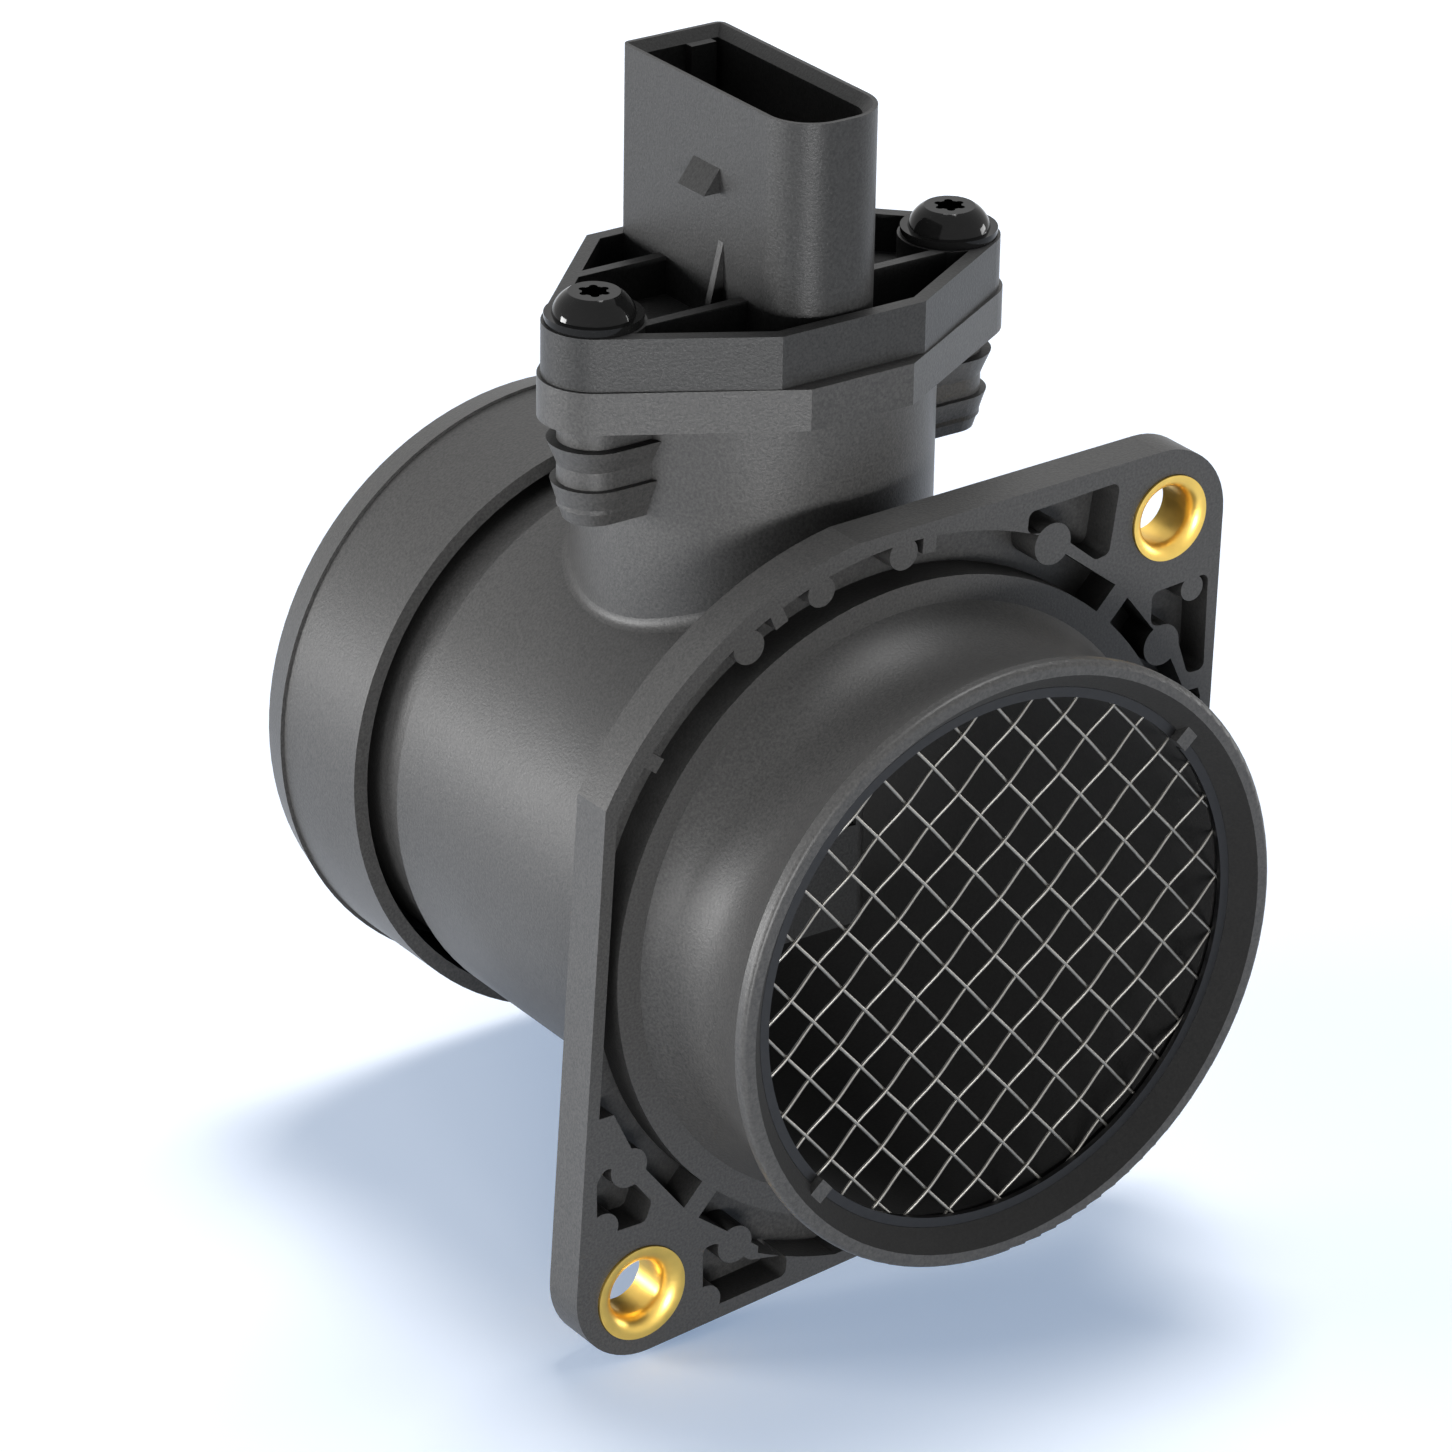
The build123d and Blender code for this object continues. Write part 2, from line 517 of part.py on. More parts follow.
with BuildPart() as sensor_body:
    # round plug, cut flush with the duct, and the flat finger below it
    with BuildSketch(Plane.XY.offset(joint_z)):
        with Locations((0, tower_y)):
            Circle(plug_r)
    extrude(amount=-(joint_z - bore_r / 2))
    with BuildSketch(across(0)):
        Circle(bore_r)
    extrude(amount=-rear_y, mode=Mode.SUBTRACT)
    add(extrude(finger_outline.sketch, amount=bore_r + fit - finger_bottom_z + 1, mode=Mode.PRIVATE))
    # groove of the seal ring
    with BuildSketch(Plane.XY.offset(seal_z - seal_groove_w / 2)):
        with Locations((0, tower_y)):
            Circle(neck_bore_r)
            Circle(plug_r - seal_section - fit, mode=Mode.SUBTRACT)
    extrude(amount=seal_groove_w, mode=Mode.SUBTRACT)
    # plate with its pockets
    with BuildSketch(Plane.XY.offset(joint_z)):
        add(sensor_outline)
    extrude(amount=plate_top_z - joint_z)
    with BuildSketch(Plane.XY.offset(joint_z + plate_floor)):
        add(sensor_outline)
        offset(amount=-plate_rim, kind=Kind.INTERSECTION)
        with Locations(*screw_places):
            Circle(plate_boss_r, mode=Mode.SUBTRACT)
        for rib_y in (front_rib_y, rear_rib_y):
            with Locations((0, rib_y)):
                Rectangle(4 * screw_x, plate_rib_t, mode=Mode.SUBTRACT)
    extrude(amount=plate_top_z - joint_z - plate_floor, mode=Mode.SUBTRACT)
    # connector shroud with its socket
    with BuildSketch(Plane.XY.offset(joint_z)) as shroud:
        with Locations((0, shroud_mid_y)):
            Rectangle(2 * plug_half_w, shroud_length)
        fillet(shroud.vertices().sort_by(Axis.Y)[:2], shroud_front_r)
        fillet(shroud.vertices().sort_by(Axis.Y)[-2:], shroud_rear_r)
    extrude(amount=shroud_top_z - joint_z)
    with BuildSketch(Plane.XY.offset(shroud_floor_z)):
        add(shroud.sketch_local)
        offset(amount=-shroud_wall, kind=Kind.INTERSECTION)
    extrude(amount=shroud_top_z - shroud_floor_z, mode=Mode.SUBTRACT)
    mouth = sensor_body.faces().filter_by(Axis.Z).sort_by(Axis.Z)[-1].inner_wires().edges()
    chamfer(mouth, lead_in)
    with BuildSketch(Plane.XY.offset(shroud_floor_z)):
        with Locations((key_x, shroud_rear_y - shroud_wall)):
            Rectangle(key_width, key_depth, align=(Align.CENTER, Align.MAX))
    extrude(amount=shroud_top_z - shroud_floor_z - lead_in)
    # latch wedge and gusset on the left side of the shroud
    with BuildSketch(across(latch_y - latch_width / 2)):
        with BuildLine():
            Polyline((-plug_half_w, latch_z), (-plug_half_w - latch_reach, latch_z),
                     (-plug_half_w, latch_z + latch_height),
                     (-plug_half_w + shroud_wall, latch_z + latch_height),
                     (-plug_half_w + shroud_wall, latch_z), close=True)
        make_face()
    extrude(amount=-latch_width)
    with BuildSketch(across(gusset_y - gusset_t / 2)):
        with BuildLine():
            Polyline((-plug_half_w, gusset_top_z), (-plug_half_w - gusset_reach, joint_z + plate_floor),
                     (-plug_half_w, joint_z + plate_floor), close=True)
        make_face()
    extrude(amount=-gusset_t)
    # screw holes and contact slots
    with BuildSketch(Plane.XY.offset(plate_top_z)):
        with Locations(*screw_places):
            Circle(screw_hole_r)
    extrude(amount=joint_z - plate_top_z, mode=Mode.SUBTRACT)
    with BuildSketch(Plane.XY.offset(shroud_floor_z)):
        with Locations((0, shroud_mid_y)):
            with GridLocations(contact_pitch, contact_pitch, 1, contact_count):
                Rectangle(contact_w + 2 * fit, contact_t + 2 * fit)
    extrude(amount=bay_top_z - shroud_floor_z, mode=Mode.SUBTRACT)
    # electronics bay, measuring passage and the seats of their covers
    with BuildSketch(side(bay_floor_x)):
        add(bay_outline.sketch_local)
    extrude(amount=finger_half_w - bay_floor_x, mode=Mode.SUBTRACT)
    with BuildSketch(side(passage_floor_x)):
        add(passage_outline.sketch_local)
    extrude(amount=lid_x - passage_floor_x, mode=Mode.SUBTRACT)
    for hollow in (bay_outline, passage_outline):
        with BuildSketch(side(lid_x)):
            add(lid_outline(hollow, 0))
        extrude(amount=lid_t, mode=Mode.SUBTRACT)
    with BuildSketch(Plane.XY.offset(finger_bottom_z)):
        with Locations(((passage_floor_x + lid_x) / 2, (outlet_front_y + outlet_rear_y) / 2)):
            Rectangle(lid_x - passage_floor_x, outlet_rear_y - outlet_front_y)
    extrude(amount=-finger_bottom_z - passage_wall, mode=Mode.SUBTRACT)
    # slot for the tongue of the base plate
    with BuildSketch(side(bay_floor_x)):
        with Locations((tongue_mid_y, bay_bottom_z)):
            Rectangle(tongue_rear_y - tongue_front_y + 2 * seat_gap, 2 * (bay_bottom_z - leg_z))
    extrude(amount=base_t + seat_gap, mode=Mode.SUBTRACT)
    # notch of the temperature sensor with the two holes for its leads
    with BuildSketch(side(-finger_half_w)):
        with Locations((probe_y, (probe_bottom_z + probe_top_z) / 2)):
            Rectangle(probe_width, probe_top_z - probe_bottom_z)
    extrude(amount=probe_depth, mode=Mode.SUBTRACT)
    with BuildSketch(Plane.XY.offset(probe_bottom_z - probe_lead_seat)):
        with Locations((probe_x, probe_y)):
            Circle(probe_lead_r + fit)
    extrude(amount=probe_top_z - probe_bottom_z + 2 * probe_lead_seat, mode=Mode.SUBTRACT)
save(sensor_body, "sensor_body")

# ---------------------------------------------------------------- covers of the finger
for label, hollow in (("circuit_cover", bay_outline), ("passage_cover", passage_outline)):
    with BuildPart() as cover:
        with BuildSketch(side(lid_x)):
            add(lid_outline(hollow, seat_gap))
        extrude(amount=lid_t)
        add(extrude(finger_outline.sketch, amount=bore_r - finger_bottom_z, mode=Mode.PRIVATE),
            mode=Mode.INTERSECT)
    save(cover, label)

# ---------------------------------------------------------------- electronics
with BuildPart() as base_plate:
    with BuildSketch(side(bay_floor_x)):
        add(bay_outline.sketch_local)
        offset(amount=-seat_gap, kind=Kind.INTERSECTION)
        with Locations((tongue_mid_y, (bay_top_z + bay_bottom_z) / 2)):
            Rectangle(tongue_rear_y - tongue_front_y,
                      (bay_top_z + bay_bottom_z) / 2 - leg_z + carrier_h / 2,
                      align=(Align.CENTER, Align.MAX))
    extrude(amount=base_t)
save(base_plate, "base_plate")

with BuildPart() as circuit_board:
    with BuildSketch(side(board_x)):
        add(bay_outline.sketch_local)
        offset(amount=-board_margin - seat_gap, kind=Kind.INTERSECTION)
    extrude(amount=board_t)
save(circuit_board, "circuit_board")

for label, y, z, (length, height, depth) in (("signal_chip", *signal_chip_place, signal_chip_size),
                                             ("power_chip", *power_chip_place, power_chip_size)):
    with BuildPart() as chip:
        with BuildSketch(side(chip_x)):
            with Locations((y, z)):
                Rectangle(length, height)
        extrude(amount=depth)
    save(chip, label)

with BuildPart() as sensor_carrier:
    with BuildSketch(side(board_x)):
        with Locations((tongue_mid_y, leg_z)):
            Rectangle(tongue_rear_y - tongue_front_y, carrier_h)
    extrude(amount=carrier_t)
save(sensor_carrier, "sensor_carrier")

with BuildPart() as sensor_chip:
    with BuildSketch(side(board_x + carrier_t)):
        with Locations((tongue_mid_y, leg_z)):
            Rectangle(chip_w, chip_h)
    extrude(amount=chip_t)
save(sensor_chip, "sensor_chip")

probe_mid_z = (probe_bottom_z + probe_top_z) / 2
probe_half = (probe_top_z - probe_bottom_z) / 2 + probe_lead_seat - fit
with BuildPart() as temperature_sensor:
    with BuildSketch(Plane.XY.offset(probe_mid_z)):
        with Locations((probe_x, probe_y)):
            Circle(probe_lead_r)
    extrude(amount=probe_half, both=True)
    with BuildSketch(Plane.XY.offset(probe_mid_z)):
        with Locations((probe_x, probe_y)):
            Circle(probe_bead_r)
    extrude(amount=probe_bead_length / 2, both=True)
    bead_ends = temperature_sensor.edges().filter_by(
        lambda e: e.geom_type == GeomType.CIRCLE and e.radius == probe_bead_r)
    chamfer(bead_ends, probe_bead_r / 2)
save(temperature_sensor, "temperature_sensor")

for number in range(contact_count):
    contact_y = shroud_mid_y + (number - (contact_count - 1) / 2) * contact_pitch
    with BuildPart() as contact:
        with BuildSketch(Plane.XY.offset(contact_tail_z)):
            with Locations((0, contact_y)):
                Rectangle(contact_w, contact_t)
        extrude(amount=contact_tip_z - contact_tail_z)
        chamfer(contact.faces().sort_by(Axis.Z)[-1].edges(), contact_tip_chamfer)
    save(contact, f"contact_{number + 1}")

# ---------------------------------------------------------------- seal ring
with BuildPart() as seal_ring:
    with BuildSketch(upright(0, tower_y)) as seal_ring_section:
        with Locations((seal_r, seal_z)):
            Rectangle(seal_section, seal_section)
        chamfer(seal_ring_section.vertices(), seal_chamfer)
    revolve(axis=Axis((0, tower_y, 0), (0, 0, 1)))
save(seal_ring, "seal_ring")

# ---------------------------------------------------------------- screws
for label, (x, y) in zip(("screw_left", "screw_right"), screw_places):
    with BuildPart() as screw:
        with BuildSketch(upright(x, y)):
            with BuildLine():
                Polyline((0, plate_top_z - screw_length), (screw_r, plate_top_z - screw_length),
                         (screw_r, plate_top_z), (screw_flange_r, plate_top_z),
                         (screw_flange_r, plate_top_z + screw_flange_t),
                         (screw_dome_r, plate_top_z + screw_flange_t))
                RadiusArc((screw_dome_r, plate_top_z + screw_flange_t),
                          (screw_dome_top_r, plate_top_z + screw_head_h), -screw_dome_arc)
                Polyline((screw_dome_top_r, plate_top_z + screw_head_h), (0, plate_top_z + screw_head_h),
                         (0, plate_top_z - screw_length))
            make_face()
        revolve(axis=Axis((x, y, 0), (0, 0, 1)))
        with BuildSketch(Plane.XY.offset(plate_top_z + screw_head_h)):
            with Locations((x, y)):
                Circle(socket_r)
                with PolarLocations(socket_r, 6):
                    Circle(socket_lobe_r)
        extrude(amount=-socket_depth, mode=Mode.SUBTRACT)
    save(screw, label)

# ---------------------------------------------------------------- inlet screen
for label, first_angle in (("screen_ring_upper", screen_key_angles[0]),
                           ("screen_ring_lower", screen_key_angles[1])):
    with BuildPart() as half_ring:
        with BuildSketch(across(screen_back_y)):
            Circle(screen_ring_out_r)
            Circle(screen_ring_in_r, mode=Mode.SUBTRACT)
            with Locations(Location((0, 0, 0), first_angle)):
                Rectangle(3 * bore_r, screen_key_t / 2 + ring_end_gap,
                          align=(Align.CENTER, Align.MIN), mode=Mode.SUBTRACT)
                Rectangle(3 * bore_r, 2 * bore_r, align=(Align.CENTER, Align.MAX), mode=Mode.SUBTRACT)
        extrude(amount=screen_back_y - screen_front_y)
    save(half_ring, label)

with BuildPart() as screen_mesh:
    for back_y, pitch, shift, angle in (
            (screen_seat_y, wire_pitch_a, wire_shift_a, wire_angle),
            (screen_back_y + wire_t, wire_pitch_b, wire_shift_b, wire_angle - 90)):
        with BuildSketch(across(back_y)):
            for number in range(-wire_count, wire_count + 1):
                offset_r = shift + number * pitch
                if abs(offset_r) < bore_r - wire_w:
                    with Locations(Location((*turned(offset_r, angle + 90), 0), angle)):
                        Rectangle(3 * bore_r, wire_w)
            Circle(wire_reach_r, mode=Mode.INTERSECT)
        extrude(amount=wire_t)
save(screen_mesh, "screen_mesh")
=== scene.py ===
# %% [markdown]
# # A mass airflow sensor, dressed in Blender
# The moulded tube, the sensor head, the bushes and the screws come from the CAD model and
# stay where they are. This lesson adds what the solids leave out: the woven inlet screen,
# the finishes of moulded plastic, brass and coated steel, a camera and a soft studio light.
# Lengths are in metres. +Y is the air flow and +Z points up the sensor tower.

# %% Load the frame
from math import cos, pi, radians, sin

import bpy
import numpy as np
from mathutils import Matrix, Vector


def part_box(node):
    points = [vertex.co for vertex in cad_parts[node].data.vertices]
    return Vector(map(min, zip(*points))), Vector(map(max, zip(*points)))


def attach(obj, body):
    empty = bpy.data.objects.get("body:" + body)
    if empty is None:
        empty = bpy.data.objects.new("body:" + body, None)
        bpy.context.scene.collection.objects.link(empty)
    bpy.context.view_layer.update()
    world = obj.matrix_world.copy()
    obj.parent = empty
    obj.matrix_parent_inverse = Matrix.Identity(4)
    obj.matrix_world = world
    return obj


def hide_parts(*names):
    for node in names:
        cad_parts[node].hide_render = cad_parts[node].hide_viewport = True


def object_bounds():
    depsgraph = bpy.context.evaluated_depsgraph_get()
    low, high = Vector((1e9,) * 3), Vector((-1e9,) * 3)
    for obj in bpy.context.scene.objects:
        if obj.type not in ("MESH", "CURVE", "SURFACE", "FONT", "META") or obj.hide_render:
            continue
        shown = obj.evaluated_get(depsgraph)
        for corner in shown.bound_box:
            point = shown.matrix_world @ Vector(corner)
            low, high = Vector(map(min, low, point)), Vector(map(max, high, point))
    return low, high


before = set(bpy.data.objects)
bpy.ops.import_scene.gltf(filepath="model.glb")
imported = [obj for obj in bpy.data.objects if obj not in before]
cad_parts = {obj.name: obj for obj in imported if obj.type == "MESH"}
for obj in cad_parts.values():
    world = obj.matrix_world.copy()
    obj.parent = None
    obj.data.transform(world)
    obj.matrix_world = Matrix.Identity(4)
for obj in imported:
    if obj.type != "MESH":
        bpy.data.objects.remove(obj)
cad_low, cad_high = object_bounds()
mm = 0.001
print("nodes:", len(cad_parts), "size in mm:", [round(v / mm, 1) for v in cad_high - cad_low])

# %% [markdown]
# ## Camera
# The sensor is seen from its inlet side, a little from the left and from above. A short lens
# close by would show nearly the same faces, but it would make the flange look far larger than
# the hose end. A long lens from 0.7 m away keeps the two round ends nearly the same size, as
# product pictures do. The camera's three axes are worked out from its azimuth, elevation and
# roll, so that each can be changed alone. The Standard view shows every colour as it is
# written, without a film look.

# %% Camera
azimuth, elevation, roll = radians(-35.28), radians(25.53), radians(0.94)
camera_place = Vector((-378.554, -501.430, 320.148)) * mm
lens_mm = 163.14
sensor_mm = 36.0

level_right = Vector((cos(azimuth), sin(azimuth), 0))
backward = Vector((sin(azimuth) * cos(elevation), -cos(azimuth) * cos(elevation), sin(elevation)))
level_up = backward.cross(level_right)
camera_right = level_right * cos(roll) + level_up * sin(roll)
camera_up = level_up * cos(roll) - level_right * sin(roll)

camera_data = bpy.data.cameras.new("camera")
camera_data.sensor_width = sensor_mm
camera_data.lens = lens_mm
camera_data.clip_start = 10 * mm
camera = bpy.data.objects.new("camera", camera_data)
bpy.context.scene.collection.objects.link(camera)
turn = Matrix((camera_right, camera_up, backward)).transposed().to_4x4()
camera.matrix_world = Matrix.Translation(camera_place) @ turn
bpy.context.scene.camera = camera
bpy.context.scene.view_settings.view_transform = "Standard"
print("camera at", [round(v, 3) for v in camera.location])

# %% [markdown]
# ## Helpers for node materials
# A Blender material is a small graph: nodes work out a colour or a number, and links carry it
# to a socket of the shader. The same graphs could be drawn by hand in the shader editor. Two
# helpers keep them short in code: one starts an empty material, the other adds a node and
# sets its sockets by name.

# %% Helpers for node materials
def new_material(name):
    """An empty material: returns it with its nodes, its links and its output node."""
    material = bpy.data.materials.new(name)
    material.use_nodes = True
    nodes, links = material.node_tree.nodes, material.node_tree.links
    nodes.clear()
    output = nodes.new("ShaderNodeOutputMaterial")
    return material, nodes, links, output


def add_node(nodes, kind, **values):
    """Adds one node; a value whose name is a socket sets that socket, others set properties."""
    node = nodes.new(kind)
    for key, value in values.items():
        if key in node.inputs:
            node.inputs[key].default_value = value
        else:
            setattr(node, key, value)
    return node


print("helpers:", new_material.__name__, "and", add_node.__name__)

# %% [markdown]
# ## Background that is seen but gives no light
# A white background could be made with more light, but that would bleach the sensor too.
# Cycles tells a material which kind of ray is looking at it. So a background can be white for
# the rays of the camera, and for those that reach it by way of a glossy or a clear surface,
# so that metal and glass show it too, while the light that falls on the sensor stays dim.

# %% Rays that see the background
def seen_directly(nodes, links):
    """A value that is 1 for rays of the camera, mirrors and glass, and 0 for other light."""
    rays = nodes.new("ShaderNodeLightPath")
    camera_or_mirror = add_node(nodes, "ShaderNodeMath", operation="MAXIMUM")
    or_glass = add_node(nodes, "ShaderNodeMath", operation="MAXIMUM")
    links.new(rays.outputs["Is Camera Ray"], camera_or_mirror.inputs[0])
    links.new(rays.outputs["Is Glossy Ray"], camera_or_mirror.inputs[1])
    links.new(camera_or_mirror.outputs[0], or_glass.inputs[0])
    links.new(rays.outputs["Is Transmission Ray"], or_glass.inputs[1])
    return or_glass.outputs[0]


print("helper:", seen_directly.__name__)

# %% [markdown]
# ## White sheet
# The sensor stands on a sheet of paper. A sheet that only glows would take no shadow, and one
# that doesn't glow would go grey away from the lamps. This one is an ordinary pale surface,
# which takes the shadow, with a glow added for direct rays. The glow is a faint blue near the
# sensor, so that the shadow is blue, and grows to white where the lamps no longer reach.

# %% Paper
paper_colour = (0.90, 0.90, 0.90, 1)
near_glow, far_glow = (0.08, 0.16, 0.29, 1), (0.85, 0.85, 0.85, 1)
near_edge, far_edge = 0.2, 1.0      # the glow grows between these two distances


def paper_glow(nodes, links):
    """The glow's colour, which goes from blue to white between the near and the far edge."""
    place = nodes.new("ShaderNodeTexCoord")
    distance = add_node(nodes, "ShaderNodeVectorMath", operation="LENGTH")
    links.new(place.outputs["Object"], distance.inputs[0])
    outward = nodes.new("ShaderNodeMapRange")
    outward.inputs["From Min"].default_value = near_edge
    outward.inputs["From Max"].default_value = far_edge
    links.new(distance.outputs["Value"], outward.inputs["Value"])
    tint = nodes.new("ShaderNodeValToRGB")
    tint.color_ramp.elements[0].color = near_glow
    tint.color_ramp.elements[1].color = far_glow
    links.new(outward.outputs["Result"], tint.inputs[0])
    return tint.outputs[0]


def white_paper():
    """White paper: a matte surface, plus the glow that only direct rays see."""
    material, nodes, links, output = new_material("white_paper")
    matte = add_node(nodes, "ShaderNodeBsdfDiffuse", Color=paper_colour)
    glow = nodes.new("ShaderNodeEmission")
    links.new(paper_glow(nodes, links), glow.inputs["Color"])
    links.new(seen_directly(nodes, links), glow.inputs["Strength"])
    both = nodes.new("ShaderNodeAddShader")
    links.new(matte.outputs[0], both.inputs[0])
    links.new(glow.outputs[0], both.inputs[1])
    links.new(both.outputs[0], output.inputs["Surface"])
    return material


print("paper glows white from", far_edge, "m on")

# %% White sheet
floor_gap = 0.4 * mm        # keeps the sheet just clear of the lowest edge
floor_z = cad_low.z - floor_gap
reach = 3.0                 # half the side of the sheet
corners = [(-reach, -reach, floor_z), (reach, -reach, floor_z),
           (reach, reach, floor_z), (-reach, reach, floor_z)]
sheet_mesh = bpy.data.meshes.new("paper")
sheet_mesh.from_pydata(corners, [], [(0, 1, 2, 3)])
sheet_mesh.materials.append(white_paper())
paper = bpy.data.objects.new("paper", sheet_mesh)
bpy.context.scene.collection.objects.link(paper)
print("paper at z =", round(floor_z / mm, 1), "mm")

# %% [markdown]
# ## White room
# Past the sheet the camera sees the room, and so does every glossy face. It could be a real
# box of walls, but the world's background does the same with two nodes: plain white where it
# is seen, and a dim, slightly cool light for all else.

# %% White room
world = bpy.data.worlds.new("studio")
bpy.context.scene.world = world
world.use_nodes = True
world_nodes, world_links = world.node_tree.nodes, world.node_tree.links
world_nodes.clear()
room = add_node(world_nodes, "ShaderNodeBackground", Color=(0.93, 0.96, 1.0, 1), Strength=0.12)
white = add_node(world_nodes, "ShaderNodeBackground", Color=(1, 1, 1, 1), Strength=1.0)
choose = world_nodes.new("ShaderNodeMixShader")
world_out = world_nodes.new("ShaderNodeOutputWorld")
world_links.new(seen_directly(world_nodes, world_links), choose.inputs[0])
world_links.new(room.outputs[0], choose.inputs[1])
world_links.new(white.outputs[0], choose.inputs[2])
world_links.new(choose.outputs[0], world_out.inputs["Surface"])
print("room light", round(room.inputs["Strength"].default_value, 2))

# %% [markdown]
# ## Studio light
# Soft boxes give moulded plastic its long, soft highlights. A lit picture of a studio would
# do it too, but boxes are easy to place one by one. Two low ones on the left draw the bright
# bands along the tube and the round end, a low one behind the camera lights the flange and
# the front of the sensor head, and a weak one on the right lifts the far edges. A square one
# hangs above and behind: it lights the upper edges and casts the shadow on the paper.
# Together they bring white paper just to white, so a colour renders about as it is written.

# %% Soft boxes
middle = (cad_low + cad_high) / 2


def soft_box(name, place, width, height, power):
    """A rectangular lamp of so many watts, turned so that it faces the sensor's middle."""
    lamp = bpy.data.lights.new(name, "AREA")
    lamp.shape = "RECTANGLE"
    lamp.size, lamp.size_y = width, height
    lamp.energy = power
    holder = bpy.data.objects.new(name, lamp)
    bpy.context.scene.collection.objects.link(holder)
    holder.location = place
    holder.rotation_euler = (middle - Vector(place)).to_track_quat("-Z", "Y").to_euler()
    return holder


# name, place, width, height and power of each
soft_boxes = [
    soft_box("left_strip", (-0.95, 0.08, 0.03), 0.40, 0.10, 4.6),
    soft_box("left_back_box", (-0.80, 0.50, 0.09), 0.30, 0.18, 8.7),
    soft_box("front_strip", (-0.45, -0.83, 0.04), 0.35, 0.12, 11.0),
    soft_box("right_box", (0.91, -0.24, 0.12), 0.35, 0.20, 3.0),
    soft_box("back_box", (0.28, 0.26, 1.15), 0.45, 0.45, 10.5),
]
print(len(soft_boxes), "soft boxes, aimed at", [round(v / mm) for v in middle], "mm")

# %% [markdown]
# ## Inside of the duct
# Light that enters the duct of a real sensor hardly comes out again, so its wall looks nearly
# black. That shade is painted into the colour here, and the wall is made rougher so that it
# shows no gloss. The wall belongs to the same moulding as the outside. It could get a
# material of its own face by face, but the faces can also be found by where they are and
# which way they look: close to the duct axis, and towards it. That needs no list of faces.

# %% Inside of the duct
duct_edge = 33.3 * mm       # just outside the bevel in the mouth
inward_limit = -3 * mm      # leaves out flat front faces, which look along the axis
# painted shade: the share of the colour that is left on the wall inside the duct
duct_shade_share = 0.2            # share of the colour that is left inside
duct_rougher = 0.50         # added to the roughness inside


def inside_of_duct(nodes, links, place):
    """1 on faces that look towards the duct axis from inside the duct's edge, else 0.

    A point's place without its Y is the way to it from the axis. The face looks towards the
    axis where the dot product of that vector and the normal is negative.
    """
    flatten = add_node(nodes, "ShaderNodeVectorMath", operation="MULTIPLY")
    flatten.inputs[1].default_value = (1, 0, 1)
    links.new(place.outputs["Object"], flatten.inputs[0])
    distance = add_node(nodes, "ShaderNodeVectorMath", operation="LENGTH")
    links.new(flatten.outputs[0], distance.inputs[0])
    near = add_node(nodes, "ShaderNodeMath", operation="LESS_THAN")
    near.inputs[1].default_value = duct_edge
    links.new(distance.outputs["Value"], near.inputs[0])
    facing = add_node(nodes, "ShaderNodeVectorMath", operation="DOT_PRODUCT")
    links.new(flatten.outputs[0], facing.inputs[0])
    links.new(nodes.new("ShaderNodeNewGeometry").outputs["Normal"], facing.inputs[1])
    inward = add_node(nodes, "ShaderNodeMath", operation="LESS_THAN")
    inward.inputs[1].default_value = inward_limit
    links.new(facing.outputs["Value"], inward.inputs[0])
    inside = add_node(nodes, "ShaderNodeMath", operation="MULTIPLY")
    links.new(near.outputs[0], inside.inputs[0])
    links.new(inward.outputs[0], inside.inputs[1])
    return inside.outputs[0]


def duct_shade_and_roughness(nodes, links, place, roughness, share):
    """The roughness, raised on the faces inside the duct, and the share of the colour, taken down
    there as painted shade.
    """
    inside = inside_of_duct(nodes, links, place)
    # painted shade: inside the duct only a small share of the colour is left
    darker = add_node(nodes, "ShaderNodeMath", operation="MULTIPLY_ADD")
    darker.inputs[1].default_value = duct_shade_share - 1
    darker.inputs[2].default_value = 1.0
    links.new(inside, darker.inputs[0])
    both = add_node(nodes, "ShaderNodeMath", operation="MULTIPLY")
    links.new(darker.outputs[0], both.inputs[0])
    links.new(share, both.inputs[1])
    rougher = add_node(nodes, "ShaderNodeMath", operation="MULTIPLY_ADD")
    rougher.inputs[1].default_value = duct_rougher
    links.new(inside, rougher.inputs[0])
    links.new(roughness, rougher.inputs[2])
    return rougher.outputs[0], both.outputs[0]


print("duct finish up to", round(duct_edge / mm, 1), "mm from the axis")

# %% [markdown]
# ## Narrow pockets
# The pockets in the flange and the gaps between ribs look darker than open faces, because
# little light finds its way out of them. Cycles works out that shade by itself, but under a
# few lamps it comes out weaker than on a real moulding. So the Ambient Occlusion node measures
# how open a place is, and the colour is taken down with it.

# %% Narrow pockets
pocket_reach = 7 * mm                   # how far a face looks for walls round it
closed_view, open_view = 0.15, 0.52     # openness deep in a pocket and on an open face
pocket_share = 0.12                     # share of the colour that is left deep in a pocket


def open_share(nodes, links):
    """1 on open faces, falling to the pocket's share where walls close in on a face."""
    openness = add_node(nodes, "ShaderNodeAmbientOcclusion", Distance=pocket_reach, samples=8)
    share = nodes.new("ShaderNodeMapRange")
    share.inputs["From Min"].default_value = closed_view
    share.inputs["From Max"].default_value = open_view
    share.inputs["To Min"].default_value = pocket_share
    share.inputs["To Max"].default_value = 1.0
    links.new(openness.outputs["AO"], share.inputs["Value"])
    return share.outputs["Result"]


print("pockets looked for within", round(pocket_reach / mm), "mm")

# %% [markdown]
# ## Moulded plastic
# Glass-filled plastic comes out of a spark-eroded mould with a very fine grain. A picture of
# such a surface would need the parts unwrapped, while noise in the object's own coordinates
# fits any shape and keeps its size. Fine noise drives a shallow bump for the grain and mottles
# the grey by a hair. A second, wider noise varies the gloss a little, as on real mouldings.
# The sensor head is a darker moulding than the tube that carries it.

# %% Moulded plastic
speckle_scale = 3200.0      # grains of a third of a millimetre
mottle_scale = 90.0         # patches of a centimetre
grain_depth = 0.06 * mm
grain_strength = 0.5


